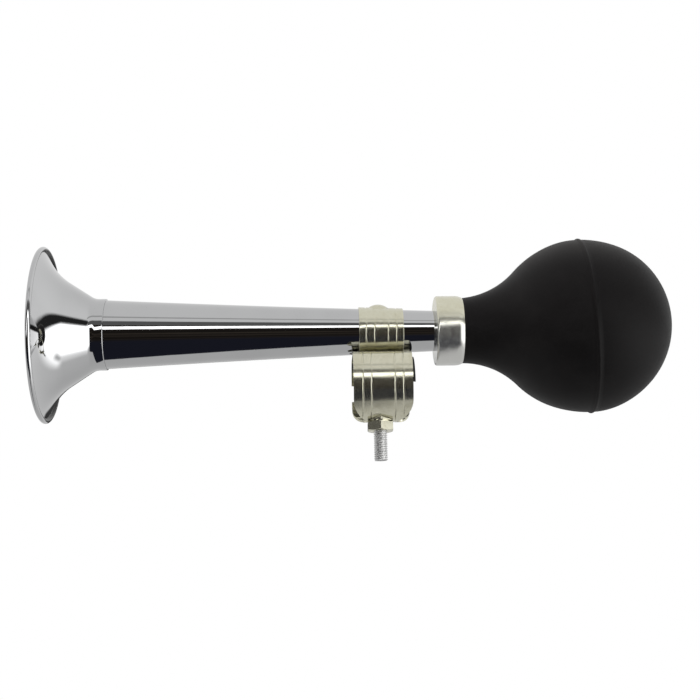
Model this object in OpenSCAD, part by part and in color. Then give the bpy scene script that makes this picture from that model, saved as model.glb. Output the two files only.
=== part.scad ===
// Bulb horn with a handlebar clamp, in millimetres.
// The origin is the middle of the handlebar in its clamp.
// The horn lies along X above it, bell at -X, bulb at +X.

/* [Bell] */
// Diameter of the bell over its rolled rim
bell_rim_d = 64.4; // [56:0.5:76]
// Sheet thickness of the bell
bell_wall = 0.6; // [0.4:0.05:1]
// Thickness of the rolled rim
rim_bead_d = 1.9; // [1.4:0.1:2.6]
// Diameter of the wire inside the rolled rim
rim_wire_d = 0.8; // [0.4:0.1:1]
// How far the bell's collar stands out over the tube
bell_collar_step = 0.5; // [0.45:0.05:0.8]
// Length of the bell's collar over the tube
bell_collar_len = 2.75; // [2:0.25:6]
// Radius of the curve between the collar and the cone
bell_root_radius = 5; // [3:0.5:8]
// Slope of the bell's cone
bell_cone_angle = 33; // [28:1:38]
// Slope of the bell at its rim
bell_rim_angle = 74; // [66:1:80]
// Radius of the curve that opens the cone out to the rim
bell_flare_radius = 21.8; // [16:0.2:24]

/* [Tube] */
// Distance from the middle of the clamp to the front of the ferrule
ferrule_dist = 19.9; // [16:0.1:26]
// Length of tube that shows between the bell and the ferrule
tube_shown_len = 119.6; // [90:0.1:150]
// Diameter of the tube at the bell
tube_big_d = 25.05; // [22:0.1:28]
// Diameter of the tube at the ferrule
tube_small_d = 14.8; // [13:0.1:17]
// How far the taper is drawn in from a straight line, at its middle
tube_bow = 0.28; // [0:0.02:0.6]
// Sheet thickness of the tube
tube_wall = 0.6; // [0.4:0.05:1]
// Length of tube inside the ferrule
tube_end_len = 3.6; // [3:0.1:8]

/* [Clamp] */
// Diameter of the handlebar
bar_d = 22.2; // [20:0.1:25.4]
// Thickness of the liner between band and bar
liner_t = 0.3; // [0.3:0.05:0.8]
// How far the liner stands out of each end of the band
liner_overhang = 0.9; // [0.4:0.1:1.6]
// Sheet thickness of the handlebar band
band_t = 0.8; // [0.6:0.05:1.2]
// Width of the handlebar band
band_w = 21.2; // [16:0.2:26]
// Height of the upper edge of the band's opening above the bar's middle
band_gap_top = 3.4; // [0:0.2:4]
// Depth of the lower edge of the band's opening below the bar's middle
band_gap_bottom = 2.8; // [2:0.2:6]
// Radius of the band's rounded corners below the bar
band_corner_r = 5.8; // [3:0.2:6]
// Sheet thickness of the tube strap
strap_t = 0.6; // [0.5:0.05:1]
// Width of the tube strap
strap_w = 16.2; // [13:0.2:19]
// Distance from the middle of the strap to its inner pressed lines
strap_line_inner = 2.5; // [1:0.1:3]
// Distance from the middle of the strap to its outer pressed lines
strap_line_outer = 5.5; // [4:0.1:6]
// Distance from the middle of the handlebar band to its inner pressed lines
band_line_inner = 4.2; // [3:0.1:5]
// Distance from the middle of the handlebar band to its outer pressed lines
band_line_outer = 7.2; // [6:0.1:7.6]
// Width of a pressed line
line_w = 0.6; // [0.3:0.05:0.8]
// Depth of a pressed line
line_depth = 0.15; // [0.05:0.01:0.25]

/* [Clamp fasteners] */
// Place of the fasteners along the bands, from their middle
fastener_x = -0.9; // [-1.5:0.1:1.5]
// Thread diameter of the clamp screw
screw_d = 4.9; // [4:0.1:6]
// Thread pitch of the clamp screw
screw_pitch = 0.8; // [0.6:0.05:1]
// Depth of the thread
thread_depth = 0.45; // [0.2:0.05:0.6]
// Length of screw below the nut
screw_out_len = 10.6; // [8:0.5:16]
// Width of the screwdriver slot
slot_w = 1; // [0.6:0.1:1.4]
// Depth of the screwdriver slot
slot_depth = 3; // [1:0.1:3.5]
// Width of the nut across its flats
nut_af = 9; // [8:0.1:10]
// Height of the nut
nut_h = 3.4; // [2.6:0.1:5]
// Diameter of the pressure pad
pad_d = 6; // [5:0.1:6.6]
// Diameter of the pin that carries the pad
pad_pin_d = 2.4; // [1.6:0.1:3]
// Length of the pin that carries the pad
pad_pin_len = 0.4; // [0.3:0.02:0.5]
// Shank diameter of the rivet that joins the two bands
swivel_d = 3; // [2.4:0.1:4]
// Diameter of that rivet's head
swivel_head_d = 6; // [5:0.1:7]
// Thickness of that rivet's head
swivel_head_t = 0.8; // [0.6:0.1:1.4]
// Diameter of that rivet's flattened end
swivel_tail_d = 5.2; // [4.6:0.1:6]
// Shank diameter of the rivet on top of the strap
dome_shank_d = 3.9; // [3:0.1:4.5]
// Diameter of its domed head
dome_d = 7.6; // [6:0.1:9]
// Height of its domed head
dome_h = 1.4; // [1:0.1:2]
// Diameter of its set end inside the tube
dome_tail_d = 5.4; // [4.8:0.1:6]
// Length of its set end inside the tube
dome_tail_len = 2.2; // [1.5:0.1:3]
// Diameter of the stem left in it
mandrel_d = 2; // [1.4:0.1:2.2]
// Diameter of that stem's head
mandrel_head_d = 3.4; // [2.6:0.1:4]
// Height of that stem's head
mandrel_head_t = 1.2; // [0.8:0.1:2]

/* [Bulb] */
// Diameter of the rubber bulb
bulb_d = 63.6; // [54:0.2:72]
// Distance from the front of the ferrule to the bulb's seam
bulb_seam_dist = 55.1; // [50:0.1:64]
// Radius of the front shoulder of the bulb
bulb_shoulder_radius = 34.7; // [32.5:0.1:38]
// Radius of the curve between neck and shoulder
bulb_neck_curve = 29.6; // [26:0.1:34]
// Angle by which the bulb leans up in its ferrule
bulb_lean = 1.6; // [0:0.1:2]
// Distance from the ferrule to the bend of that lean
bulb_lean_dist = 1; // [0.8:0.1:2]
// Rubber thickness
bulb_wall = 2.6; // [1.8:0.1:3.5]
// Height of the raised parting seam
seam_h = 0.45; // [0.2:0.05:0.8]
// Width of the raised parting seam
seam_w = 1.5; // [0.8:0.1:2.4]

/* [Ferrule] */
// Diameter of the ferrule
ferrule_d = 25.5; // [23:0.1:28]
// Length of the ferrule
ferrule_len = 9.9; // [9:0.1:14]
// Sheet thickness of the ferrule
ferrule_wall = 0.75; // [0.5:0.05:1]
// Radius of the ferrule's front shoulder
ferrule_shoulder = 0.8; // [0.8:0.1:2.4]
// Radius of the ferrule's turned-in rear lip
ferrule_lip = 0.65; // [0.4:0.05:0.7]
// Thickness of the neck's rubber on its bush
neck_rubber = 2.75; // [2:0.05:3]
// How far the neck's bush reaches past the ferrule
bush_past = 0.5; // [0:0.1:2]

/* [Reed] */
// Diameter of the shallot, the channel under the reed
shallot_d = 7; // [6:0.1:8]
// Wall of the shallot
shallot_wall = 0.8; // [0.5:0.05:1.1]
// Length of the shallot beyond its plug
shallot_len = 20; // [18:0.5:24]
// Length of the plug that holds the shallot in the tube
reed_plug_len = 8; // [6:0.5:12]
// Height of the shallot's flat face above its middle
reed_face_h = 0.8; // [0.4:0.1:1.2]
// Thickness of the reed tongue
tongue_t = 0.25; // [0.15:0.05:0.4]
// Width of the reed tongue
tongue_w = 6.2; // [5.8:0.1:6.6]
// Angle by which the tongue stands off the shallot at rest
tongue_lift = 3.2; // [2.5:0.1:4]
// Length of the clip on the tongue's root
clip_len = 4; // [3:0.2:6]
// Thickness of the clip round the shallot
clip_t = 0.9; // [0.6:0.1:1.4]

/* [Fits] */
// Gap between the handlebar and its liner, on the radius
bar_gap = 0.05; // [0.02:0.01:0.15]
// Gap between pieces that are pressed or soldered together
fit_gap = 0.03; // [0.01:0.01:0.05]
// Running gap of pieces that turn or slide in each other, on the radius
run_gap = 0.05; // [0.03:0.01:0.1]
// Gap between the two bands
swivel_gap = 0.08; // [0.08:0.02:0.4]

/* [Hidden] */
$fn = 96;
arc_steps = 12;
// How far a cutter reaches past what it cuts, and the length of one that goes right through
cut = 1;
through = 60;
hard_rubber = [0.12, 0.11, 0.1];
chrome = [0.78, 0.79, 0.81];
nickel = [0.76, 0.74, 0.68];
rubber = [0.1, 0.095, 0.095];
brass = [0.78, 0.62, 0.3];
steel = [0.6, 0.6, 0.6];

// The clamp, from the bar outwards
bar_r = bar_d / 2;
liner_in = bar_r + bar_gap;
liner_out = liner_in + liner_t;
band_in = liner_out + fit_gap;
band_out = band_in + band_t;
nut_top = -band_out - fit_gap;
nut_bottom = nut_top - nut_h;
pad_top = -band_in - fit_gap;
pad_bottom = nut_top + fit_gap + run_gap;
screw_top = pad_bottom - run_gap;
screw_bottom = nut_bottom - screw_out_len;

// The tube's taper
ferrule_x = ferrule_dist;
tube_x = ferrule_x - tube_shown_len;
tube_end_x = ferrule_x + tube_end_len;
function taper(x) = (x - tube_x) / tube_shown_len;
function tube_r(x) =
    tube_big_d / 2 + (tube_small_d - tube_big_d) / 2 * taper(x) - 4 * tube_bow * taper(x) * (1 - taper(x));
function strap_r(x) = tube_r(x) + fit_gap + strap_t;
axis_z = band_out + swivel_gap + strap_r(-strap_w / 2);

// The bell, from its collar to its rim
collar_r = tube_big_d / 2 + bell_collar_step;
spigot_r = collar_r - bell_wall - fit_gap;
root_x = tube_x - bell_collar_len;
bead_r = rim_bead_d / 2;
flare_end_r = bell_rim_d / 2 - bead_r;
cone_end_r = flare_end_r - bell_flare_radius * (cos(bell_cone_angle) - cos(bell_rim_angle));
cone_start_r = collar_r + bell_root_radius * (1 - cos(bell_cone_angle));
cone_start_x = root_x - bell_root_radius * sin(bell_cone_angle);
cone_end_x = cone_start_x - (cone_end_r - cone_start_r) / tan(bell_cone_angle);
rim_x = cone_end_x - bell_flare_radius * (sin(bell_rim_angle) - sin(bell_cone_angle));

// The bulb, from its neck to its end
bulb_r = bulb_d / 2;
seam_x = ferrule_x + bulb_seam_dist;
ferrule_r = ferrule_d / 2;
ferrule_in = ferrule_r - ferrule_wall;
ferrule_end_x = ferrule_x + ferrule_len;
neck_r = ferrule_in - fit_gap;
neck_in = neck_r - neck_rubber;
neck_x = ferrule_x + ferrule_wall + fit_gap;
shoulder_y = bulb_r - bulb_shoulder_radius;
curve_y = neck_r + bulb_neck_curve;
curve_x = seam_x - sqrt(pow(bulb_shoulder_radius + bulb_neck_curve, 2) - pow(curve_y - shoulder_y, 2));
join_angle = atan2(curve_y - shoulder_y, curve_x - seam_x);

// The reed
plug_r = tube_r(tube_end_x) - tube_wall - fit_gap;
plug_x = tube_end_x - reed_plug_len;
shallot_r = shallot_d / 2;
shallot_end_x = tube_end_x + shallot_len;
clip_x = tube_end_x + 2 * run_gap;
tongue_x = clip_x + clip_len + 2 * run_gap;
tongue_len = shallot_end_x - tongue_x;

// Profile points are [distance along the horn, radius].
function arc(x, y, radius, from, to) =
    [for (i = [0:arc_steps]) let (a = from + (to - from) * i / arc_steps)
        [x + radius * cos(a), y + radius * sin(a)]];
function reversed(points) = [for (i = [len(points) - 1:-1:0]) points[i]];

// A solid turned about the horn's own axis
module turned(points) {
    translate([0, 0, axis_z]) rotate([0, 90, 0]) rotate_extrude() polygon([for (p = points) [p[1], p[0]]]);
}

// A ring about the handlebar's axis
module bar_ring(inner, outer, width) {
    rotate([0, 90, 0]) difference() {
        cylinder(r = outer, h = width, center = true);
        cylinder(r = inner, h = width + 2 * cut, center = true);
    }
}

// A cutter for one pressed line, at the given radius
module line_cutter(radius) {
    rotate([0, 90, 0]) difference() {
        cylinder(r = radius + line_depth, h = line_w, center = true);
        cylinder(r = radius - line_depth, h = line_w + 2 * cut, center = true);
    }
}

// The bell's outline, moved inwards by the given depth along its own slope
function bell_line(depth) = concat(
    [[tube_x, collar_r - depth]],
    [for (i = [0:arc_steps]) let (a = bell_cone_angle * i / arc_steps)
        [root_x - bell_root_radius * sin(a) - depth * sin(a),
         collar_r + bell_root_radius * (1 - cos(a)) - depth * cos(a)]],
    [for (i = [0:arc_steps]) let (a = bell_cone_angle + (bell_rim_angle - bell_cone_angle) * i / arc_steps)
        [cone_end_x - bell_flare_radius * (sin(a) - sin(bell_cone_angle)) - depth * sin(a),
         cone_end_r + bell_flare_radius * (cos(bell_cone_angle) - cos(a)) - depth * cos(a)]]
);

module bell() {
    color(chrome) difference() {
        union() {
            turned(concat(bell_line(0), reversed(bell_line(bell_wall))));
            rim_torus(bead_r);
        }
        rim_torus(rim_wire_d / 2 + fit_gap);
    }
}

module rim_torus(radius) {
    translate([rim_x, 0, axis_z]) rotate([0, 90, 0]) rotate_extrude()
        translate([flare_end_r, 0]) circle(r = radius, $fn = 32);
}

module rim_wire() {
    color(steel) rim_torus(rim_wire_d / 2);
}

tube_steps = 20;
function tube_line(depth) = concat(
    [[root_x, spigot_r - depth], [tube_x - fit_gap, spigot_r - depth]],
    [for (i = [0:tube_steps]) let (x = tube_x + fit_gap + (tube_end_x - tube_x - fit_gap) * i / tube_steps)
        [x, tube_r(x) - depth]]
);

// Holes for the two rivets, through the strap and the tube
module rivet_holes() {
    translate([fastener_x, 0, 0]) cylinder(r = swivel_d / 2 + run_gap, h = axis_z);
    translate([fastener_x, 0, axis_z]) cylinder(r = dome_shank_d / 2 + fit_gap, h = through);
}

module horn_tube() {
    color(chrome) difference() {
        turned(concat(tube_line(0), reversed(tube_line(tube_wall))));
        rivet_holes();
    }
}

// The strap's outside as a solid, grown by the given amount
strap_steps = 4;
function strap_line(extra) =
    [for (i = [0:strap_steps]) let (x = strap_w * (i / strap_steps - 0.5)) [x, strap_r(x) + extra]];

module tube_strap() {
    color(nickel) difference() {
        turned(concat(strap_line(0), reversed(strap_line(-strap_t))));
        for (x = [-strap_line_outer, -strap_line_inner, strap_line_inner, strap_line_outer])
            translate([x, 0, axis_z]) line_cutter(strap_r(x));
        rivet_holes();
    }
}

dome_top = axis_z + strap_r(fastener_x) + dome_h;
dome_sphere_r = (pow(dome_d / 2, 2) + pow(dome_h, 2)) / (2 * dome_h);
dome_tail_top = axis_z + sqrt(pow(tube_r(fastener_x + dome_tail_d / 2) - tube_wall, 2) - pow(dome_tail_d / 2, 2)) - fit_gap;
dome_tail_bottom = dome_tail_top - dome_tail_len;
mandrel_bottom = dome_tail_bottom - fit_gap - mandrel_head_t;

module strap_rivet() {
    color(nickel) difference() {
        union() {
            difference() {
                intersection() {
                    translate([fastener_x, 0, dome_top - dome_sphere_r]) sphere(r = dome_sphere_r);
                    translate([fastener_x, 0, dome_top - 2 * dome_h]) cylinder(d = dome_d, h = 2 * dome_h);
                }
                turned(concat([[-strap_w / 2, 0]], strap_line(fit_gap), [[strap_w / 2, 0]]));
            }
            translate([fastener_x, 0, dome_tail_bottom])
                cylinder(d = dome_shank_d, h = dome_top - dome_h - dome_tail_bottom);
            translate([fastener_x, 0, dome_tail_bottom]) cylinder(d = dome_tail_d, h = dome_tail_len);
        }
        translate([fastener_x, 0, dome_tail_bottom - cut])
            cylinder(d = mandrel_d + 2 * fit_gap, h = dome_top - dome_tail_bottom + 2 * cut);
    }
}

module rivet_mandrel() {
    color(steel) translate([fastener_x, 0, mandrel_bottom]) union() {
        cylinder(d = mandrel_d, h = dome_top - dome_h / 2 - mandrel_bottom);
        cylinder(d1 = mandrel_d, d2 = mandrel_head_d, h = mandrel_head_t);
    }
}

pad_hole_r = pad_d / 2 + run_gap;

// What is trimmed off one lower corner of the handlebar band, seen from the front
module corner_cutter() {
    translate([band_w / 2 - band_corner_r, 0, -band_out + band_corner_r]) difference() {
        translate([0, -through, -through]) cube([through, 2 * through, through]);
        rotate([90, 0, 0]) cylinder(r = band_corner_r, h = 2 * (through + cut), center = true);
    }
}

module bar_band() {
    color(nickel) difference() {
        bar_ring(band_in, band_out, band_w);
        for (x = [-band_line_outer, -band_line_inner, band_line_inner, band_line_outer])
            translate([x, 0, 0]) line_cutter(band_out);
        translate([-band_w, 0, -band_gap_bottom]) cube([2 * band_w, through, band_gap_top + band_gap_bottom]);
        for (side = [0, 180]) rotate([0, 0, side]) corner_cutter();
        translate([fastener_x, 0, -through]) cylinder(r = pad_hole_r, h = through);
        translate([fastener_x, 0, 0]) cylinder(r = swivel_d / 2 + fit_gap, h = through);
    }
}

module band_liner() {
    color(rubber) difference() {
        bar_ring(liner_in, liner_out, band_w + 2 * liner_overhang);
        translate([-band_w, -through, -through]) cube([2 * band_w, 2 * through, through]);
        translate([-band_w, 0, 0]) cube([2 * band_w, through, band_gap_top]);
        translate([fastener_x, 0, 0]) cylinder(r = swivel_tail_d / 2 + fit_gap, h = through);
    }
}

swivel_head_z = axis_z - sqrt(pow(tube_r(fastener_x + swivel_head_d / 2) - tube_wall, 2) - pow(swivel_head_d / 2, 2)) + run_gap;

// The shank starts inside the flattened end, between the liner's two faces.
swivel_root_z = band_in - fit_gap - liner_t / 2;

module swivel_rivet() {
    color(steel) translate([fastener_x, 0, 0]) union() {
        translate([0, 0, swivel_root_z]) cylinder(d = swivel_d, h = swivel_head_z - swivel_root_z);
        translate([0, 0, swivel_head_z]) cylinder(d1 = swivel_head_d, d2 = swivel_d, h = swivel_head_t);
        intersection() {
            bar_ring(liner_in, band_in - fit_gap, through);
            cylinder(d = swivel_tail_d, h = through);
        }
    }
}

nut_corner_r = nut_af / cos(30) / 2;
nut_chamfer_h = (nut_corner_r - nut_af / 2) * tan(30);

module clamp_nut() {
    color(nickel) translate([fastener_x, 0, nut_bottom]) difference() {
        intersection() {
            rotate([0, 0, 30]) cylinder(r = nut_corner_r, h = nut_h, $fn = 6);
            rotate_extrude() polygon([
                [0, 0], [nut_af / 2, 0], [nut_corner_r, nut_chamfer_h],
                [nut_corner_r, nut_h - nut_chamfer_h], [nut_af / 2, nut_h], [0, nut_h]
            ]);
        }
        translate([0, 0, -cut]) cylinder(d = screw_d + 2 * run_gap, h = nut_h + 2 * cut);
    }
}

module clamp_pad() {
    color(brass) translate([fastener_x, 0, 0]) difference() {
        translate([0, 0, pad_bottom]) cylinder(d = pad_d, h = pad_top - pad_bottom);
        translate([0, 0, pad_bottom - cut]) cylinder(d = pad_pin_d + 2 * run_gap, h = pad_pin_len + cut);
    }
}

screw_r = screw_d / 2;
thread_count = floor((screw_top - screw_bottom) / screw_pitch) - 1;
thread_z = screw_bottom + screw_pitch / 2;

module clamp_screw() {
    color(steel) translate([fastener_x, 0, 0]) difference() {
        rotate_extrude() polygon(concat(
            [[0, screw_bottom], [screw_r - thread_depth, screw_bottom]],
            [for (i = [0:thread_count - 1], step = [0, 1])
                [screw_r - thread_depth * (1 - step), thread_z + screw_pitch * (i + step / 2)]],
            [[screw_r - thread_depth, thread_z + screw_pitch * thread_count],
             [screw_r - thread_depth, screw_top], [pad_pin_d / 2, screw_top],
             [pad_pin_d / 2, screw_top + pad_pin_len], [0, screw_top + pad_pin_len]]
        ));
        translate([-screw_d, -slot_w / 2, screw_bottom - cut]) cube([2 * screw_d, slot_w, slot_depth + cut]);
    }
}

module ferrule() {
    hole_r = tube_r(ferrule_x) + fit_gap;
    color(nickel) turned(concat(
        [[ferrule_x, hole_r]],
        arc(ferrule_x + ferrule_shoulder, ferrule_r - ferrule_shoulder, ferrule_shoulder, 180, 90),
        arc(ferrule_end_x - ferrule_lip, ferrule_r - ferrule_lip, ferrule_lip, 90, 0),
        [[ferrule_end_x, ferrule_in], [ferrule_x + ferrule_wall, ferrule_in],
         [ferrule_x + ferrule_wall, hole_r]]
    ));
}

bush_end_x = ferrule_end_x + bush_past;

module neck_bush() {
    color(hard_rubber) turned([
        [neck_x, tube_r(neck_x) + fit_gap], [neck_x, neck_in - fit_gap], [bush_end_x, neck_in - fit_gap],
        [bush_end_x, plug_r], [tube_end_x + fit_gap, plug_r],
        [tube_end_x + fit_gap, tube_r(tube_end_x) + fit_gap]
    ]);
}

// The bulb's outline between its neck and its seam, moved inwards by the given depth
function bulb_front_line(depth) = concat(
    [for (p = arc(curve_x, curve_y, bulb_neck_curve + depth, 270, join_angle + 180)) if (p[0] > lean_from_x) p],
    [for (i = [1:arc_steps]) let (a = join_angle + (90 - join_angle) * i / arc_steps)
        [seam_x + (bulb_shoulder_radius - depth) * cos(a),
         shoulder_y + (bulb_shoulder_radius - depth) * sin(a)]]
);

// The radius of the curve between neck and shoulder, where the leaning part of the bulb starts
lean_x = ferrule_end_x + bulb_lean_dist;
lean_from_x = lean_x - bulb_lean_dist / 2;
lean_from_r = curve_y - sqrt(pow(bulb_neck_curve, 2) - pow(lean_from_x - curve_x, 2));

// Leans a piece of the bulb up about its bend
module leaned() {
    translate([lean_x, 0, axis_z]) rotate([0, -bulb_lean, 0]) translate([-lean_x, 0, -axis_z]) children();
}

// Half of the raised seam, on one side of it
function seam_line(side) = [
    [seam_x + side * seam_w / 2, sqrt(pow(bulb_r, 2) - pow(seam_w / 2, 2))],
    [seam_x + side * seam_w / 6, bulb_r + seam_h],
    [seam_x + side * fit_gap, bulb_r + seam_h]
];

module bulb_front() {
    outer = [for (p = bulb_front_line(0)) if (p[0] < seam_x - seam_w / 2) p];
    inner = [for (p = bulb_front_line(bulb_wall)) if (p[0] < seam_x - fit_gap) p];
    color(rubber) union() {
        turned([
            [neck_x, neck_in], [neck_x, neck_r],
            [lean_x + bulb_lean_dist / 2, neck_r], [lean_x + bulb_lean_dist / 2, neck_in]
        ]);
        leaned() turned(concat(
            [[lean_from_x, lean_from_r]], outer, seam_line(-1),
            [[seam_x - fit_gap, bulb_r - bulb_wall]], reversed(inner),
            [[lean_from_x, lean_from_r - bulb_wall]]
        ));
    }
}

module bulb_rear() {
    outer = [for (p = arc(seam_x, 0, bulb_r, 90, 0)) if (p[0] > seam_x + seam_w / 2) p];
    inner = [for (p = arc(seam_x, 0, bulb_r - bulb_wall, 90, 0)) if (p[0] > seam_x + fit_gap) p];
    color(rubber) leaned() turned(concat(
        [[seam_x + fit_gap, bulb_r - bulb_wall]], reversed(seam_line(1)), outer, reversed(inner)
    ));
}

module reed_plug() {
    color(brass) turned([
        [plug_x, shallot_r + fit_gap], [plug_x, plug_r],
        [tube_end_x, plug_r], [tube_end_x, shallot_r + fit_gap]
    ]);
}

// The shallot's round outside, with its flat face beyond the plug
module shallot_body(extra) {
    difference() {
        translate([plug_x, 0, axis_z]) rotate([0, 90, 0])
            cylinder(r = shallot_r + extra, h = shallot_end_x - plug_x);
        translate([clip_x - run_gap, -shallot_d, axis_z + reed_face_h + extra])
            cube([through, 2 * shallot_d, shallot_d]);
    }
}

module shallot() {
    color(brass) difference() {
        shallot_body(0);
        translate([plug_x - cut, 0, axis_z]) rotate([0, 90, 0])
            cylinder(r = shallot_r - shallot_wall, h = shallot_end_x - plug_x - shallot_wall + cut);
    }
}

module reed_clip() {
    color(brass) difference() {
        translate([clip_x, 0, axis_z]) rotate([0, 90, 0]) cylinder(r = shallot_r + clip_t, h = clip_len);
        shallot_body(fit_gap);
    }
}

module reed_tongue() {
    color(brass) translate([tongue_x, 0, axis_z + reed_face_h + run_gap]) rotate([0, -tongue_lift, 0])
        translate([0, -tongue_w / 2, 0]) cube([tongue_len, tongue_w, tongue_t]);
}

bell();
rim_wire();
horn_tube();
tube_strap();
strap_rivet();
rivet_mandrel();
bar_band();
band_liner();
swivel_rivet();
clamp_nut();
clamp_pad();
clamp_screw();
ferrule();
neck_bush();
bulb_front();
bulb_rear();
reed_plug();
shallot();
reed_clip();
reed_tongue();
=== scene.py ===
from math import asin, cos, degrees, exp, pi, radians, sin, sqrt

import bmesh
import bpy
from mathutils import Matrix, Vector


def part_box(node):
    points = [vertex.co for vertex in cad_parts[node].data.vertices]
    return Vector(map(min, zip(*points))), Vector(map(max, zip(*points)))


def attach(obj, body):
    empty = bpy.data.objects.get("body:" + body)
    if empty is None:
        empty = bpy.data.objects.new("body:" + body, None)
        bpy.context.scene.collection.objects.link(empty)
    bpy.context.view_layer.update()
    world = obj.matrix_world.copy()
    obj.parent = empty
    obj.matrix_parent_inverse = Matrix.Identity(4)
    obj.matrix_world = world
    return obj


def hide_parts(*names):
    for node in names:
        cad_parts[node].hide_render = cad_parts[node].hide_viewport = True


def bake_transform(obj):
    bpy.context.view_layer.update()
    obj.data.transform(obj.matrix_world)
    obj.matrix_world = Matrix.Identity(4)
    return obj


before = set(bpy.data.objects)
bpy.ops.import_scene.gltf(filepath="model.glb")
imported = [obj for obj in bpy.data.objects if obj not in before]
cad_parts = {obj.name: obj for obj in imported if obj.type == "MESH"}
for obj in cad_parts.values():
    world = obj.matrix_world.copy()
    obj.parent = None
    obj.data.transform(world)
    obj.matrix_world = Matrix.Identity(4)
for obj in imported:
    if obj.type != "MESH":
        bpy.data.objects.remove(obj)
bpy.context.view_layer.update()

# Camera: a long lens a little below the horn, which looks slightly up at it and is rolled by
# about a degree.
scene = bpy.context.scene
scene.view_settings.view_transform = "Standard"
look_from = Vector((-0.025871, -0.474292, -0.099341))
look_at = Vector((-0.011328, 0, 0.014556))
sensor_wide, focal_length, roll = 36, 68.64, radians(-1.085)
lens = bpy.data.cameras.new("camera")
lens.sensor_width = sensor_wide
lens.lens = focal_length
camera = bpy.data.objects.new("camera", lens)
aim = (look_at - look_from).to_track_quat("-Z", "Y").to_matrix().to_4x4()
camera.matrix_world = Matrix.Translation(look_from) @ aim @ Matrix.Rotation(roll, 4, "Z")
scene.collection.objects.link(camera)
scene.camera = camera


# Studio: a white room with a pale round floor well below the horn. What the metal mirrors is
# painted on a wide dome: a dark cloth in front and below with a strip light over it, a bright panel
# at the right with a dark screen above it, and a dark doorway behind.
class Wire:
    """A socket of a material, so that its maths is written as plain maths."""

    def __init__(self, tree, socket=None):
        self.tree = tree
        self.socket = socket

    def node(self, kind, settings={}, sockets={}, output=0):
        made = self.tree.nodes.new("ShaderNode" + kind)
        for name, value in settings.items():
            setattr(made, name, value)
        for name, value in sockets.items():
            if isinstance(value, Wire):
                self.tree.links.new(value.socket, made.inputs[name])
            else:
                made.inputs[name].default_value = value
        return Wire(self.tree, made.outputs[output] if made.outputs else None)

    def maths(self, operation, first, second=0.0):
        return self.node("Math", {"operation": operation}, {0: first, 1: second})

    def __add__(self, other):
        return self.maths("ADD", self, other)

    def __sub__(self, other):
        return self.maths("SUBTRACT", self, other)

    def __mul__(self, other):
        return self.maths("MULTIPLY", self, other)

    def __rsub__(self, other):
        return self.maths("SUBTRACT", other, self)

    __radd__ = __add__
    __rmul__ = __mul__

    def kept_within(self, low, high):
        return self.maths("MINIMUM", self.maths("MAXIMUM", self, low), high)

    def spread(self, low, high, to_low=0.0, to_high=1.0):
        return self.node("MapRange", {"interpolation_type": "SMOOTHSTEP"}, {
            "Value": self, "From Min": low, "From Max": high, "To Min": to_low, "To Max": to_high})

    def between(self, low, high, soft):
        """1 where this value lies between low and high, with soft edges."""
        return self.spread(low - soft / 2, low + soft / 2) * self.spread(high + soft / 2, high - soft / 2)

    def tint(self, first, second):
        """A colour that goes from first to second as this value goes from 0 to 1."""
        first, second = [c if isinstance(c, Wire) else (*c, 1) for c in (first, second)]
        return self.node("Mix", {"data_type": "RGBA"}, {0: self, 6: first, 7: second}, 2)

    def clouds(self, scale, detail=2.0, rough=0.5):
        return self.node("TexNoise", {}, {
            "Vector": self, "Scale": scale, "Detail": detail, "Roughness": rough})

    def stretched(self, x, y, z):
        return self.node("Mapping", {}, {"Vector": self, "Scale": (x, y, z)})

    def parts(self):
        split = self.node("SeparateXYZ", {}, {"Vector": self}).socket.node
        return [Wire(self.tree, split.outputs[n]) for n in ("X", "Y", "Z")]

    def surface(self, sockets):
        """Ends a finish in one shader with these inputs."""
        shader = self.node("BsdfPrincipled", {}, sockets)
        self.node("OutputMaterial", {}, {"Surface": shader})


def new_finish(name):
    finish = bpy.data.materials.new(name)
    finish.use_nodes = True
    finish.node_tree.nodes.clear()
    wire = Wire(finish.node_tree)
    return finish, wire, wire.node("TexCoord", output="Object")


def stand(bm, name, finish):
    """Puts up a piece of the studio, which isn't part of the horn."""
    mesh = bpy.data.meshes.new(name)
    bm.to_mesh(mesh)
    bm.free()
    mesh.materials.append(finish)
    made = bpy.data.objects.new(name, mesh)
    scene.collection.objects.link(made)
    return made


room_fill, room_white = 0.55, 1.0
room = bpy.data.worlds.new("white_room")
room.use_nodes = True
room.node_tree.nodes.clear()
air = Wire(room.node_tree)
path = air.node("LightPath").socket.node
ray_kinds = ("Is Camera Ray", "Is Glossy Ray", "Is Transmission Ray")
camera_ray, glossy_ray, clear_ray = [Wire(room.node_tree, path.outputs[kind]) for kind in ray_kinds]
shown = camera_ray + glossy_ray + clear_ray
glow = air.node("Background", {}, {
    "Color": (1, 1, 1, 1), "Strength": shown * (room_white - room_fill) + room_fill})
air.node("OutputWorld", {}, {"Surface": glow})
scene.world = room

floor_drop, floor_r = -0.8, 6
finish, wire, spot = new_finish("pale_floor")
wire.surface({
    "Base Color": spot.clouds(3).tint((0.86, 0.86, 0.86), (0.9, 0.9, 0.9)),
    "Roughness": 0.9, "Specular IOR Level": 0.1,
    "Emission Color": (1, 1, 1, 1), "Emission Strength": 0.42})
bm = bmesh.new()
bmesh.ops.create_circle(bm, cap_ends=True, segments=96, radius=floor_r)
bmesh.ops.translate(bm, verts=bm.verts, vec=(0, 0, floor_drop))
floor = stand(bm, "floor", finish)
floor.visible_glossy = False

finish, wire, spot = new_finish("studio_dome")
way = wire.node("VectorMath", {"operation": "NORMALIZE"}, {0: spot})
right, back, high = way.parts()
# Degrees: to the right of the camera's side, above the level, and over the horn from its front.
side = wire.maths("ARCTAN2", right, 0 - back) * degrees(1)
up = wire.maths("ARCSINE", high * 0.9999) * degrees(1)
over = wire.maths("ARCTAN2", high, 0 - back) * degrees(1)


def grey(level):
    return level, level, level


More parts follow.
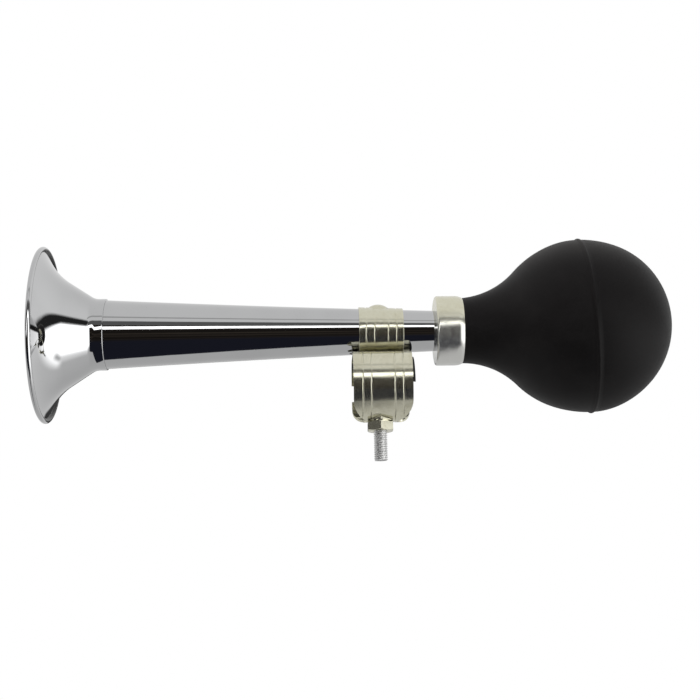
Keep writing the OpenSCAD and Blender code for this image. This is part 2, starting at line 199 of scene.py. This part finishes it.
# The wall is paler above and at the right, with a grey beam high up in front.
paint = up.spread(-28, 28).tint(grey(0.64), grey(0.86))
paler = right.spread(0.3, 1.0) * (0.5 + up.spread(-20, 20) * 0.5)
paint = paler.tint(paint, grey(1.02))
beam = over.between(44.5, 49.5, 3) * right.between(-0.95, 0.7, 0.1)
paint = beam.tint(paint, grey(0.5))

# The bright panel has a slanted top, and a smudge low down.
panel_top = 20.5 - side * 0.15
panel = side.spread(20, 34) * side.spread(114, 86)
panel = panel * up.spread(-48, -36) * (up - panel_top).spread(1.5, -2)
paint = panel.tint(paint, grey(2.3))
smudge = side.between(78, 91, 12) * up.between(-42, -29, 9)
paint = smudge.tint(paint, grey(0.75))

# The dark screen is widest at one place, and thins out to both sides of it.
from_widest = side - 74
screen_mid = wire.maths("MAXIMUM", 15.5 - from_widest * 0.25, 9.7)
screen_half = wire.maths("MAXIMUM", 8 - from_widest * from_widest * 0.005, 1.4)
screen = (wire.maths("ABSOLUTE", up - screen_mid) - screen_half).spread(3.5, -2.5)
screen = screen * side.spread(38, 46) * side.spread(134, 116)
paint = screen.tint(paint, grey(0.025))

# A dark board hangs over the cloth. The cloth is streaked, and its lower edge runs slanting.
board = over.between(17.5, 32, 3.5) * right.between(-0.96, 0.66, 0.1)
paint = board.tint(paint, grey(0.14))
streak = way.stretched(0.5, 7, 7).clouds(2.4, 3).spread(0.42, 0.72)
folds = streak.tint((0.012, 0.010, 0.009), (0.055, 0.045, 0.036))
cloth = over.spread(-40, -28).tint((0.014, 0.015, 0.024), folds)
cloth_slant = wire.maths("MINIMUM", right, 0.14) * 160
cloth_edge = (over - cloth_slant).spread(-95, -92) * over.spread(19, 17)
cloth_edge = cloth_edge * (1 - right.spread(-0.2, -0.26) * over.spread(-58, -66))
cloth_edge = cloth_edge * over.spread(-150, -140) * right.between(-0.98, 0.5, 0.05)
paint = cloth_edge.tint(paint, cloth)

# The strip light lies slanting across the cloth, and the doorway is behind the horn.
strip_slant = wire.maths("MINIMUM", right, 0.15) * 30
strip = (over - strip_slant).between(5, 14.2, 1.4) * right.between(-0.74, 0.62, 0.05)
paint = strip.tint(paint, grey(3.0))
doorway = wire.maths("ABSOLUTE", side).spread(164, 168) * up.between(-0.5, 12, 3)
paint = doorway.tint(paint, grey(0.05))

wire.node("OutputMaterial", {}, {"Surface": wire.node("Emission", {}, {"Color": paint})})
dome_r = 12
bm = bmesh.new()
bmesh.ops.create_icosphere(bm, subdivisions=4, radius=dome_r)
dome = stand(bm, "dome", finish)
dome.visible_camera = dome.visible_diffuse = dome.visible_shadow = dome.visible_transmission = False

lamp_from, lamp_wide, lamp_power = Vector((-0.5, -0.5, 1.05)), 0.7, 17
lamp_light = bpy.data.lights.new("softbox", "AREA")
lamp_light.size = lamp_wide
lamp_light.energy = lamp_power
lamp = bpy.data.objects.new("softbox", lamp_light)
lamp_aim = (-lamp_from).to_track_quat("-Z", "Y").to_matrix().to_4x4()
lamp.matrix_world = Matrix.Translation(lamp_from) @ lamp_aim
lamp.visible_glossy = False
scene.collection.objects.link(lamp)

# Bell: sheet steel spun into a flare, its rim rolled over a wire and its collar pressed over the
# big end of the tube. Chromed and polished.
tube_low, tube_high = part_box("horn_tube")
axis_up = 500 * (tube_low.z + tube_high.z)
tube_x, ferrule_x = -99.7, 19.9
rim_x, rim_r, bead = -122.177, 31.25, 0.95
touching = 0.001


def draw(bm, start, *strokes):
    """Draws an outline in millimetres: x along the horn and distance from the axis. A stroke is
    a point to go to, or an arc round a centre, by an angle, in some steps."""
    last = bm.verts.new((start[0], 0, start[1]))
    for stroke in strokes:
        if len(stroke) == 2:
            last = bmesh.ops.extrude_vert_indiv(bm, verts=[last])["verts"][0]
            last.co = (stroke[0], 0, stroke[1])
        else:
            x, off, by, steps = stroke
            ends = bmesh.ops.spin(
                bm, geom=[last], cent=(x, 0, off), axis=(0, -1, 0), angle=radians(by), steps=steps)
            last = [v for v in ends["geom_last"] if isinstance(v, bmesh.types.BMVert)][0]


def turn(bm, steps, axis=(1, 0, 0)):
    bmesh.ops.remove_doubles(bm, verts=bm.verts, dist=touching)
    bmesh.ops.spin(bm, geom=bm.verts[:] + bm.edges[:], axis=axis, angle=2 * pi, steps=steps, use_merge=True)
    bmesh.ops.remove_doubles(bm, verts=bm.verts, dist=touching)
    bmesh.ops.recalc_face_normals(bm, faces=bm.faces)


def raise_to_axis(bm):
    bmesh.ops.translate(bm, verts=bm.verts, vec=(0, 0, axis_up))


def make(bm, name, finish, sharp=40):
    """Makes an object, in metres, of a shape drawn in millimetres."""
    bmesh.ops.scale(bm, verts=bm.verts, vec=(0.001, 0.001, 0.001))
    mesh = bpy.data.meshes.new(name)
    bm.to_mesh(mesh)
    bm.free()
    mesh.shade_smooth()
    mesh.set_sharp_from_angle(angle=radians(sharp))
    mesh.materials.append(finish)
    made = bpy.data.objects.new(name, mesh)
    scene.collection.objects.link(made)
    return made


def fit(made, body, slot, *nodes):
    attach(made, body)
    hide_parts(*nodes)


# The chrome is painted dark where the rolled rim closes on the flare: painted shade of the hollow under the
# roll.
chrome, wire, spot = new_finish("polished_chrome")
haze = spot.clouds(55, 3).spread(0.45, 0.75)
rub = spot.stretched(0.12, 1, 1).clouds(1500, 2).spread(0.4, 0.8)
speck = spot.clouds(700, 2, 0.6).spread(0.66, 0.78)
wave = spot.clouds(45, 1)
x, y, z = [part * 1000 for part in spot.parts()]
off_axis = wire.maths("SQRT", y * y + (z - axis_up) * (z - axis_up))
rim_hollow_shade = x.spread(rim_x + 0.1, rim_x + 0.25) * x.spread(rim_x + 2, rim_x + 1.5)
rim_hollow_shade = rim_hollow_shade * off_axis.between(rim_r - bead, rim_r + 0.1, 0.1)
plate = (haze * 0.5 + speck * 0.5).tint((0.52, 0.523, 0.527), (0.475, 0.477, 0.48))
wire.surface({
    "Base Color": rim_hollow_shade.tint(plate, (0.03, 0.03, 0.03)),
    "Metallic": 1.0,
    "Roughness": 0.03 + haze * 0.025 + rub * 0.015 + speck * 0.06 + rim_hollow_shade * 0.3,
    "Normal": wire.node("Bump", {}, {"Height": wave + rub * 0.02 - speck * 0.03, "Distance": 0.00004})})

wall = 0.6
collar_r, collar_edge = 13.025, 0.25
root_x, root_curve = -102.45, 5.0
cone, rim_slope = radians(33), radians(74)
flare_curve, rim_roll = 21.8, 320.9
cone_end_r = rim_r - flare_curve * (cos(cone) - cos(rim_slope))
cone_start_r = collar_r + root_curve * (1 - cos(cone))
cone_start_x = root_x - root_curve * sin(cone)
cone_end_x = cone_start_x - (cone_end_r - cone_start_r) * cos(cone) / sin(cone)
flare_x, flare_off = cone_end_x + flare_curve * sin(cone), cone_end_r + flare_curve * cos(cone)
cut_back = degrees(bead / flare_curve)
cut_in = degrees(sqrt(bead ** 2 - wall ** 2) / (flare_curve + wall))
rim_turn = degrees(rim_slope - cone)
bm = bmesh.new()
draw(
    bm, (tube_x, collar_r - wall),
    (tube_x, collar_r - collar_edge),
    (tube_x - collar_edge, collar_r - collar_edge, 90, 6),
    (root_x, collar_r),
    (root_x, collar_r + root_curve, -degrees(cone), 12),
    (cone_end_x, cone_end_r),
    (flare_x, flare_off, cut_back - rim_turn, 32),
    (rim_x, rim_r, rim_roll, 36),
    (flare_x, flare_off, rim_turn - cut_in, 32),
    (cone_start_x - wall * sin(cone), cone_start_r - wall * cos(cone)),
    (root_x, collar_r + root_curve, degrees(cone), 12),
    (tube_x, collar_r - wall))
turn(bm, 192)
raise_to_axis(bm)
fit(make(bm, "spun_bell", chrome), "horn", "chrome", "bell")

# Rim wire: a ring of plain steel wire that stiffens the bell's rim. It lies inside the roll, and
# is kept as the solid of the frame.


def kept(node, finish):
    """Keeps a solid of the frame as it is, and gives it its finish."""
    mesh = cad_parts[node].data
    mesh.materials.clear()
    mesh.materials.append(finish)


steel, wire, spot = new_finish("bright_steel")
grain = spot.clouds(900, 3, 0.6)
stain = spot.clouds(180, 3).spread(0.5, 0.75)
wire.surface({
    "Base Color": stain.tint((0.74, 0.74, 0.735), (0.56, 0.56, 0.55)),
    "Metallic": 1.0,
    "Roughness": 0.36 + grain * 0.12 + stain * 0.1,
    "Normal": wire.node("Bump", {}, {"Height": grain, "Distance": 0.00001})})
kept("rim_wire", steel)

# Tube: drawn steel tube with a slightly bowed taper, pushed into the bell's collar at its big
# end and into the ferrule at its small end. Chromed and polished with the bell.
tube_end_x, tube_steps = 23.5, 24
tube_big_r, tube_taper, tube_bow = 12.525, 5.125, 1.12
fit_gap = 0.03
spigot_r = collar_r - wall - fit_gap


def tube_r(x):
    t = (x - tube_x) / (ferrule_x - tube_x)
    return tube_big_r - tube_taper * t - tube_bow * t * (1 - t)


bm = bmesh.new()
tube_start_x = tube_x + fit_gap
along = [tube_start_x + (tube_end_x - tube_start_x) * i / tube_steps for i in range(tube_steps + 1)]
draw(
    bm, (root_x, spigot_r - wall), (root_x, spigot_r), (tube_x - fit_gap, spigot_r),
    *[(x, tube_r(x)) for x in along],
    *[(x, tube_r(x) - wall) for x in reversed(along)],
    (tube_x - fit_gap, spigot_r - wall), (root_x, spigot_r - wall))
turn(bm, 160)
raise_to_axis(bm)
fit(make(bm, "taper_tube", chrome), "horn", "chrome", "horn_tube")

# Tube strap: a band of thin sheet steel closed round the tube, with four pressed lines for
# stiffness. Nickel plated, a little warmer and duller than the chrome.
shoulder_z, tuck_gain = 4.2, 33.3
nip_deep, lean_from, lean_deep, ease_deep = 1.3, 2.5, 8.5, 3.3
first_slope, full_slope = 0.078, 0.3245
nickel, wire, spot = new_finish("nickel_plate")
cloud = spot.clouds(160, 3).spread(0.4, 0.75)
mottle = spot.clouds(650, 3, 0.6).spread(0.45, 0.75)
pit = spot.clouds(1600, 2).spread(0.68, 0.78)
wave = spot.clouds(120, 1)
x, y, z = [part * 1000 for part in spot.parts()]
# The ferrule is plated duller. Its lower part is painted a neutral white while its upper part keeps the
# warm tint: painted light, for warmer light from above. On the clamp's lower wall the bump stands for a
# wall
# that leans in: it starts below the shoulder, grows to its full slope and eases off again.
on_ferrule = x.spread(18, 19.5)
ease_from = lean_from + lean_deep
below = wire.maths("MAXIMUM", shoulder_z - z, 0)
nip = wire.maths("MINIMUM", below, nip_deep)
flank = wire.maths("MINIMUM", below, ease_from)
lean_in = (below - lean_from).kept_within(0, lean_deep)
ease_off = (below - ease_from).kept_within(0, ease_deep)
tuck = nip * nip * (first_slope / (2 * nip_deep)) + (flank - nip) * first_slope
tuck = tuck + lean_in * lean_in * ((full_slope - first_slope) / (2 * lean_deep))
tuck = tuck + ease_off * full_slope - ease_off * ease_off * (full_slope / (2 * ease_deep))
plate = (cloud * 0.6 + mottle * 0.4).tint((0.645, 0.63, 0.505), (0.58, 0.56, 0.425))
wire.surface({
    # Painted light: the ferrule turns neutral white below, and stays warm above.
    "Base Color": (on_ferrule * z.spread(26, 17)).tint(plate, (0.62, 0.62, 0.595)),
    "Metallic": 0.965 - mottle * 0.03 - on_ferrule * (0.06 + mottle * 0.08),
    "Roughness": 0.15 + cloud * 0.04 + mottle * 0.03 + pit * 0.05 + on_ferrule * 0.05,
    "Normal": wire.node("Bump", {}, {
        "Height": wave + mottle * 0.015 - pit * 0.02 - tuck * tuck_gain, "Distance": 0.00003})})

strap_half, strap_over, strap_under, strap_edge = 8.1, 0.63, 0.03, 0.2
strap_lines = (-5.5, -2.5, 2.5, 5.5)
line_half, line_curve = 0.3, 0.375
line_turn = 2 * degrees(asin(line_half / line_curve))


def pressed_line(x, off):
    """A shallow round groove, drawn towards the bulb."""
    return [(x - line_half, off), (x, off + sqrt(line_curve ** 2 - line_half ** 2), line_turn, 8)]


bm = bmesh.new()
left_r, right_r = tube_r(-strap_half) + strap_over, tube_r(strap_half) + strap_over
strokes = [(-strap_half + strap_edge, left_r - strap_edge, -90, 6)]
for line_x in strap_lines:
    strokes += pressed_line(line_x, tube_r(line_x) + strap_over)
strokes += [
    (strap_half - strap_edge, right_r), (strap_half - strap_edge, right_r - strap_edge, -90, 6),
    (strap_half, right_r - strap_over + strap_under), (-strap_half, left_r - strap_over + strap_under),
    (-strap_half, left_r - strap_edge)]
draw(bm, (-strap_half, left_r - strap_edge), *strokes)
turn(bm, 128)
raise_to_axis(bm)
fit(make(bm, "strap_round_tube", nickel), "horn", "nickel", "tube_strap")

# Strap rivet: a blind rivet with a low dome pressed down on the strap, which holds the strap on
# top of the tube. The broken stem of its mandrel stays in the hole.
sliver = 0.000002


def trim(made, tool, operation):
    """Cuts an object with a shape drawn in millimetres, and keeps the result, without slivers,
    as its mesh."""
    cutter = make(tool, "cutter", made.data.materials[0])
    change = made.modifiers.new("cut", "BOOLEAN")
    change.object = cutter
    change.operation = operation
    change.solver = "EXACT"
    graph = bpy.context.evaluated_depsgraph_get()
    mesh = bpy.data.meshes.new_from_object(made.evaluated_get(graph), depsgraph=graph)
    made.modifiers.clear()
    bm = bmesh.new()
    bm.from_mesh(mesh)
    bmesh.ops.dissolve_degenerate(bm, dist=sliver, edges=bm.edges)
    bm.to_mesh(mesh)
    bm.free()
    made.data = mesh
    bpy.data.objects.remove(cutter)
    mesh.shade_smooth()
    mesh.set_sharp_from_angle(angle=radians(30))


def rod(radius, long, segments):
    """A round rod along the bar, in millimetres."""
    bm = bmesh.new()
    bmesh.ops.create_cone(bm, cap_ends=True, segments=segments, radius1=radius, radius2=radius, depth=long)
    bmesh.ops.rotate(bm, verts=bm.verts, matrix=Matrix.Rotation(pi / 2, 3, "Y"))
    return bm


fastener_x = -0.9
rivet_top = 1000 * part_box("strap_rivet")[1].z
rivet_r, rivet_rise, stem_hole, hole_deep = 5.25, 3.26, 1.03, 1.6
rivet_sink, rivet_rod = 0.15, 30
rivet_curve = (rivet_r ** 2 + rivet_rise ** 2) / (2 * rivet_rise)
rivet_turn = degrees(asin(rivet_r / rivet_curve)) - degrees(asin(stem_hole / rivet_curve))
hole_top = rivet_top - rivet_curve + sqrt(rivet_curve ** 2 - stem_hole ** 2)
bm = bmesh.new()
draw(
    bm, (stem_hole, hole_top - hole_deep), (stem_hole, hole_top),
    (0, rivet_top - rivet_curve, -rivet_turn, 20), (stem_hole, hole_top - hole_deep))
turn(bm, 64, (0, 0, 1))
bmesh.ops.translate(bm, verts=bm.verts, vec=(fastener_x, 0, 0))
rivet = make(bm, "domed_rivet", nickel)
bm = rod(tube_r(fastener_x) + strap_over - rivet_sink, rivet_rod, 128)
raise_to_axis(bm)
trim(rivet, bm, "DIFFERENCE")
fit(rivet, "horn", "nickel", "strap_rivet")
kept("rivet_mandrel", steel)

# Bar band: the lower band, a strip of the same sheet bent to an open loop for the handlebar,
# with rounded lower corners and four pressed lines. The gap at the back lets it spring open, and
# its top is flattened under the strap, with shoulders.


def bend_round_bar(bm, start, sweep, steps):
    """Bends a line along the bar into a sheet, from an angle behind the bar and by an angle."""
    bmesh.ops.rotate(bm, verts=bm.verts, matrix=Matrix.Rotation(radians(start - 90), 3, "X"))
    bmesh.ops.spin(bm, geom=bm.verts[:] + bm.edges[:], axis=(1, 0, 0), angle=radians(sweep), steps=steps)
    bmesh.ops.recalc_face_normals(bm, faces=bm.faces)


def sheet(made, thick):
    """Gives a bent sheet its thickness, inwards."""
    depth = made.modifiers.new("thickness", "SOLIDIFY")
    depth.thickness = thick / 1000
    depth.offset = -1
    depth.use_even_offset = True


def soften(made, width):
    """Rounds the cut edges of a sheet."""
    soft = made.modifiers.new("soft_edge", "BEVEL")
    soft.width = width / 1000
    soft.segments = 3
    soft.limit_method = "ANGLE"
    soft.angle_limit = radians(60)
    soft.harden_normals = True


def post(radius, middle, tall, segments):
    """An upright post on the fasteners' line, in millimetres."""
    bm = bmesh.new()
    bmesh.ops.create_cone(bm, cap_ends=True, segments=segments, radius1=radius, radius2=radius, depth=tall)
    bmesh.ops.translate(bm, verts=bm.verts, vec=(fastener_x, 0, middle))
    return bm


band_half, band_r, band_thick, band_edge = 10.6, 12.28, 0.8, 0.15
band_lines = (-7.2, -4.2, 4.2, 7.2)
gap_high, gap_low = 3.4, 2.8
gap_up, gap_down = degrees(asin(gap_high / band_r)), degrees(asin(gap_low / band_r))
shoulder_from, shoulder_full, shoulder_rate, shoulder_soft = -10, 20, 0.045, 0.06
lid_from = 0.5
corner_r, corner_cuts = 5.8, 9
pad_r, pad_gap, pad_hole_tall = 3.0, 0.05, 4
bm = bmesh.new()
strokes = []
for line_x in band_lines:
    strokes += pressed_line(line_x, band_r)
draw(bm, (-band_half, band_r), *strokes, (band_half, band_r))
bend_round_bar(bm, gap_up, 360 - gap_up - gap_down, 160)
blend_in = shoulder_full - shoulder_from
for v in bm.verts:
    off = sqrt(v.co.y ** 2 + v.co.z ** 2)
    rise = v.co.z / off
    slope = degrees(asin(rise))
    eased = min(max(slope - shoulder_from, 0), blend_in) ** 2 / (2 * blend_in)
    push = shoulder_rate * (eased + max(slope - shoulder_full, 0))
    lid = band_r / max(rise, lid_from) - band_r
    grow = (push + lid - sqrt((push - lid) ** 2 + shoulder_soft)) / 2
    v.co.y, v.co.z = v.co.y * (1 + grow / off), v.co.z * (1 + grow / off)
for cut in range(corner_cuts):
    tilt = radians((cut + 0.5) * 90 / corner_cuts)
    cut_x = band_half - corner_r + corner_r * cos(tilt)
    cut_z = -band_r + corner_r - corner_r * sin(tilt)
    for end in (-1, 1):
        bmesh.ops.bisect_plane(
            bm, geom=bm.verts[:] + bm.edges[:] + bm.faces[:], clear_outer=True,
            plane_co=(end * cut_x, 0, cut_z), plane_no=(end * cos(tilt), 0, -sin(tilt)))
band = make(bm, "handlebar_band", nickel, 30)
sheet(band, band_thick)
trim(band, post(pad_r + pad_gap, -band_r, pad_hole_tall, 64), "DIFFERENCE")
soften(band, band_edge)
fit(band, "bar_clamp", "nickel", "bar_band")

# Band liner: a strip of thin black rubber laid inside the upper half of the band, which stands
# out past the band's right end. It grips the bar and keeps its finish. The rivet that the two
# bands swivel on is plain steel, and its flattened end lies in the liner.
rubber_strip, wire, spot = new_finish("liner_rubber")
grain = spot.clouds(1400, 3, 0.6)
dust_and_sheen = spot.clouds(220, 3).spread(0.5, 0.8)
wire.surface({
    "Base Color": dust_and_sheen.tint((0.012, 0.012, 0.013), (0.028, 0.027, 0.026)),
    "Roughness": 0.55 + dust_and_sheen * 0.2 + grain * 0.1,
    "Specular IOR Level": 0.3,
    "Normal": wire.node("Bump", {}, {"Height": grain, "Distance": 0.00004})})

liner_from, liner_to, liner_steps = -8.5, 11.5, 16
liner_r, liner_thick, liner_edge = 11.45, 0.3, 0.08
liner_gap = degrees(asin(gap_high / liner_r))
liner_xs = [liner_from + (liner_to - liner_from) * i / liner_steps for i in range(liner_steps + 1)]
bm = bmesh.new()
draw(bm, (liner_xs[0], liner_r), *[(x, liner_r) for x in liner_xs[1:]])
bend_round_bar(bm, liner_gap, 180 - liner_gap, 64)
liner = make(bm, "rubber_liner", rubber_strip)
sheet(liner, liner_thick)
soften(liner, liner_edge)
fit(liner, "bar_clamp", "liner", "band_liner")
kept("swivel_rivet", steel)

# Clamp nut: a hexagon nut brazed under the band. Its lower end is chamfered, and the braze above
# it follows the nut's sides up to the band, with a groove between.
nut_low, nut_high = [1000 * end.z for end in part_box("clamp_nut")]
nut_flat = 4.5
nut_corner = nut_flat / cos(radians(30))
chamfer = (nut_corner - nut_flat) * sin(radians(30)) / cos(radians(30))
seat_top, groove, groove_r = nut_high + 1.6, 0.3, nut_flat - 0.9
bore_r, bore_edge = 2.55, 0.35
past_corner = nut_corner + 0.01
band_grip, bar_rod = 0.02, 20
nut = make(
    post(nut_corner, (nut_low + seat_top) / 2, seat_top - nut_low + 1, 6), "hexagon_nut", nickel, 30)
bm = bmesh.new()
draw(
    bm, (bore_r, nut_low + bore_edge), (bore_r + bore_edge, nut_low), (nut_flat, nut_low),
    (past_corner, nut_low + chamfer), (past_corner, nut_high - groove), (groove_r, nut_high - groove),
    (groove_r, nut_high + groove), (past_corner, nut_high + groove), (past_corner, seat_top),
    (bore_r, seat_top), (bore_r, nut_low + bore_edge))
turn(bm, 96, (0, 0, 1))
bmesh.ops.translate(bm, verts=bm.verts, vec=(fastener_x, 0, 0))
trim(nut, bm, "INTERSECT")
trim(nut, rod(band_r + band_grip, bar_rod, 192), "DIFFERENCE")
fit(nut, "bar_clamp", "nickel", "clamp_nut")

# Clamp pad: a brass foot on the screw's inner end, which turns on it and presses on the bar. Its
# underside is trimmed to the band's curve.
brass, wire, spot = new_finish("plain_brass")
tarnish = spot.clouds(400, 4, 0.6).spread(0.45, 0.75)
marks = spot.stretched(0.2, 1, 1).clouds(2500, 2)
wire.surface({
    "Base Color": tarnish.tint((0.62, 0.43, 0.16), (0.36, 0.23, 0.08)),
    "Metallic": 1.0,
    "Roughness": 0.24 + tarnish * 0.2 + marks * 0.08,
    "Normal": wire.node("Bump", {}, {"Height": marks, "Distance": 0.000008})})

pad_low, pad_high = [1000 * end.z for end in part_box("clamp_pad")]
pad_edge, pad_room = 0.1, 0.08
bm = post(pad_r, (pad_low + pad_high) / 2, pad_high - pad_low, 64)
pad_rims = [e for e in bm.edges if abs(e.verts[0].co.z - e.verts[1].co.z) < touching]
bmesh.ops.bevel(bm, geom=pad_rims, offset=pad_edge, affect="EDGES", segments=3, profile=0.5, material=-1)
pad = make(bm, "pressure_pad", brass, 30)
trim(pad, rod(band_r - pad_room, bar_rod, 192), "INTERSECT")
fit(pad, "clamp_foot", "brass", "clamp_pad")

# Clamp screw: a five-millimetre steel screw with a cut thread, and a slot for a screwdriver in
# its lower end. It turns in the nut and carries the pad.
screw_low, screw_high = [1000 * end.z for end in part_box("clamp_screw")]
pin_long = 0.4
pitch, crest_r, root_r, steps_per_turn = 0.8, 2.45, 2.0, 32
root_soft, crest_soft, below_end = 0.03, 0.05, 0.1
slot_long, slot_wide, slot_deep = 8, 1.0, 3
threads = int((screw_high - screw_low) / pitch) + 3
bm = bmesh.new()
draw(
    bm, (root_r, 0), (root_r + root_soft, 0.06), (crest_r - crest_soft, 0.27), (crest_r, 0.32),
    (crest_r, 0.48), (crest_r - crest_soft, 0.53), (root_r + root_soft, 0.74), (root_r, pitch))
bmesh.ops.spin(
    bm, geom=bm.verts[:] + bm.edges[:], axis=(0, 0, 1), angle=2 * pi * threads,
    steps=steps_per_turn * threads, dvec=(0, 0, pitch / steps_per_turn))
bmesh.ops.remove_doubles(bm, verts=bm.verts, dist=touching)
bmesh.ops.recalc_face_normals(bm, faces=bm.faces)
bmesh.ops.translate(bm, verts=bm.verts, vec=(0, 0, screw_low - pitch - below_end))
for height, facing in ((screw_low, -1), (screw_high - pin_long, 1)):
    ring = bmesh.ops.bisect_plane(
        bm, geom=bm.verts[:] + bm.edges[:] + bm.faces[:], clear_outer=True,
        plane_co=(0, 0, height), plane_no=(0, 0, facing))["geom_cut"]
    bmesh.ops.holes_fill(bm, edges=[e for e in ring if isinstance(e, bmesh.types.BMEdge)])
bmesh.ops.recalc_face_normals(bm, faces=bm.faces)
bmesh.ops.translate(bm, verts=bm.verts, vec=(fastener_x, 0, 0))
screw = make(bm, "slotted_screw", steel, 50)
bm = bmesh.new()
bmesh.ops.create_cube(bm, size=1)
bmesh.ops.scale(bm, verts=bm.verts, vec=(slot_long, slot_wide, 2 * slot_deep))
bmesh.ops.translate(bm, verts=bm.verts, vec=(fastener_x, 0, screw_low))
trim(screw, bm, "DIFFERENCE")
fit(screw, "screw", "steel", "clamp_screw")

# Ferrule: a nickel-plated cup drawn from sheet, soldered round the tube's small end. Its open
# end is curled in over the bulb's neck.
ferrule_end, ferrule_r, ferrule_in, hole_r = 29.8, 12.75, 12.0, 7.43
ferrule_wall, ferrule_edge, lip_long, lip_drop = 0.75, 0.8, 2.7, 0.65
lip_curve = (lip_long ** 2 + lip_drop ** 2) / (2 * lip_drop)
bm = bmesh.new()
draw(
    bm, (ferrule_x, hole_r), (ferrule_x, ferrule_r - ferrule_edge),
    (ferrule_x + ferrule_edge, ferrule_r - ferrule_edge, -90, 10),
    (ferrule_end - lip_long, ferrule_r),
    (ferrule_end - lip_long, ferrule_r - lip_curve, -degrees(asin(lip_long / lip_curve)), 16),
    (ferrule_end, ferrule_in), (ferrule_x + ferrule_wall, ferrule_in),
    (ferrule_x + ferrule_wall, hole_r), (ferrule_x, hole_r))
turn(bm, 144)
raise_to_axis(bm)
fit(make(bm, "neck_ferrule", nickel, 45), "horn", "nickel", "ferrule")

# Neck bush and reed: inside the ferrule and the bulb. The bush is turned hard rubber, and the
# plug, the channel, the clip and the sprung tongue of the reed are brass.
hard_rubber, wire, spot = new_finish("turned_hard_rubber")
rings = spot.stretched(1, 0.05, 0.05).clouds(3000, 2)
bloom = spot.clouds(300, 3).spread(0.45, 0.8)
wire.surface({
    "Base Color": bloom.tint((0.016, 0.014, 0.012), (0.045, 0.038, 0.028)),
    "Roughness": 0.4 + bloom * 0.2 + rings * 0.1,
    "Normal": wire.node("Bump", {}, {"Height": rings, "Distance": 0.00002})})
kept("neck_bush", hard_rubber)
for node in ("reed_plug", "shallot", "reed_clip", "reed_tongue"):
    kept(node, brass)

# Bulb: moulded black rubber, hollow, with a raised line where the two halves of the mould met.
# Its neck is stretched over the bush, and the body leans up a little. The line runs a little askew.
rubber, wire, spot = new_finish("bulb_rubber")
grain = spot.clouds(1800, 3, 0.65)
bloom = spot.clouds(70, 4, 0.6).spread(0.4, 0.75)
scuff = spot.clouds(420, 3, 0.7).spread(0.62, 0.75)
# The bulb's top is lighter: dust there, and a painted sheen of the light falling from above.
dust_and_sheen = spot.parts()[2].spread(0.036, 0.056) * (0.7 + bloom * 0.3)
mould = (bloom * 0.7 + scuff * 0.5).tint((0.0046, 0.0040, 0.0041), (0.0078, 0.0070, 0.0069))
wire.surface({
    "Base Color": dust_and_sheen.tint(mould, (0.018, 0.0165, 0.0155)),
    "Roughness": 0.46 + bloom * 0.08 + scuff * 0.1 + grain * 0.06,
    "Specular IOR Level": 0.1,
    "Normal": wire.node("Bump", {}, {"Height": grain + scuff * 0.3, "Distance": 0.00003})})

neck_x, neck_r, neck_in = 20.68, 11.97, 9.22
bulb_r, seam_x, shoulder_curve, neck_curve = 31.8, 75.0, 34.7, 29.6
lean_x, lean = 30.8, radians(1.6)
seam_up, seam_half = 0.45, 0.75
seam_yaw, seam_pitch, seam_spread = 0.061, 0.029, 12
rear_length = 0.999
curve_off = neck_r + neck_curve
curve_x = seam_x - sqrt((shoulder_curve + neck_curve) ** 2 - (curve_off - bulb_r + shoulder_curve) ** 2)
join = degrees(asin((seam_x - curve_x) / (shoulder_curve + neck_curve)))
bead_curve = (seam_half ** 2 + seam_up ** 2) / (2 * seam_up)
bead_turn = degrees(asin(seam_half / bead_curve))
near_seam = degrees(asin(seam_half / shoulder_curve))
past_seam = degrees(asin(seam_half / bulb_r))
bm = bmesh.new()
draw(
    bm, (neck_x, neck_in), (neck_x, neck_r), (curve_x, neck_r),
    (curve_x, curve_off, join, 24),
    (seam_x, bulb_r - shoulder_curve, near_seam - join, 32),
    (seam_x, bulb_r + seam_up - bead_curve, -2 * bead_turn, 10),
    (seam_x, 0, past_seam - 90, 40), (seam_x + bulb_r, 0))
draw(
    bm, (neck_x, neck_in), (curve_x, neck_in),
    (curve_x, curve_off, join, 16),
    (seam_x, bulb_r - shoulder_curve, -join, 24),
    (seam_x, 0, -90, 24), (seam_x + bulb_r + neck_in - neck_r, 0))
bmesh.ops.scale(
    bm, verts=[v for v in bm.verts if v.co.x > seam_x + seam_half], vec=(rear_length, 1, 1),
    space=Matrix.Translation((-seam_x, 0, 0)))
turn(bm, 160)
for v in bm.verts:
    near_line = exp(-((v.co.x - seam_x) / seam_spread) ** 2)
    v.co.x += near_line * (seam_yaw * v.co.y - seam_pitch * v.co.z)
raise_to_axis(bm)
bmesh.ops.rotate(
    bm, verts=[v for v in bm.verts if v.co.x > lean_x], cent=(lean_x, 0, axis_up),
    matrix=Matrix.Rotation(-lean, 3, "Y"))
bulb = make(bm, "squeeze_bulb", rubber, 60)
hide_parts("bulb_front", "bulb_rear")
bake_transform(bulb)
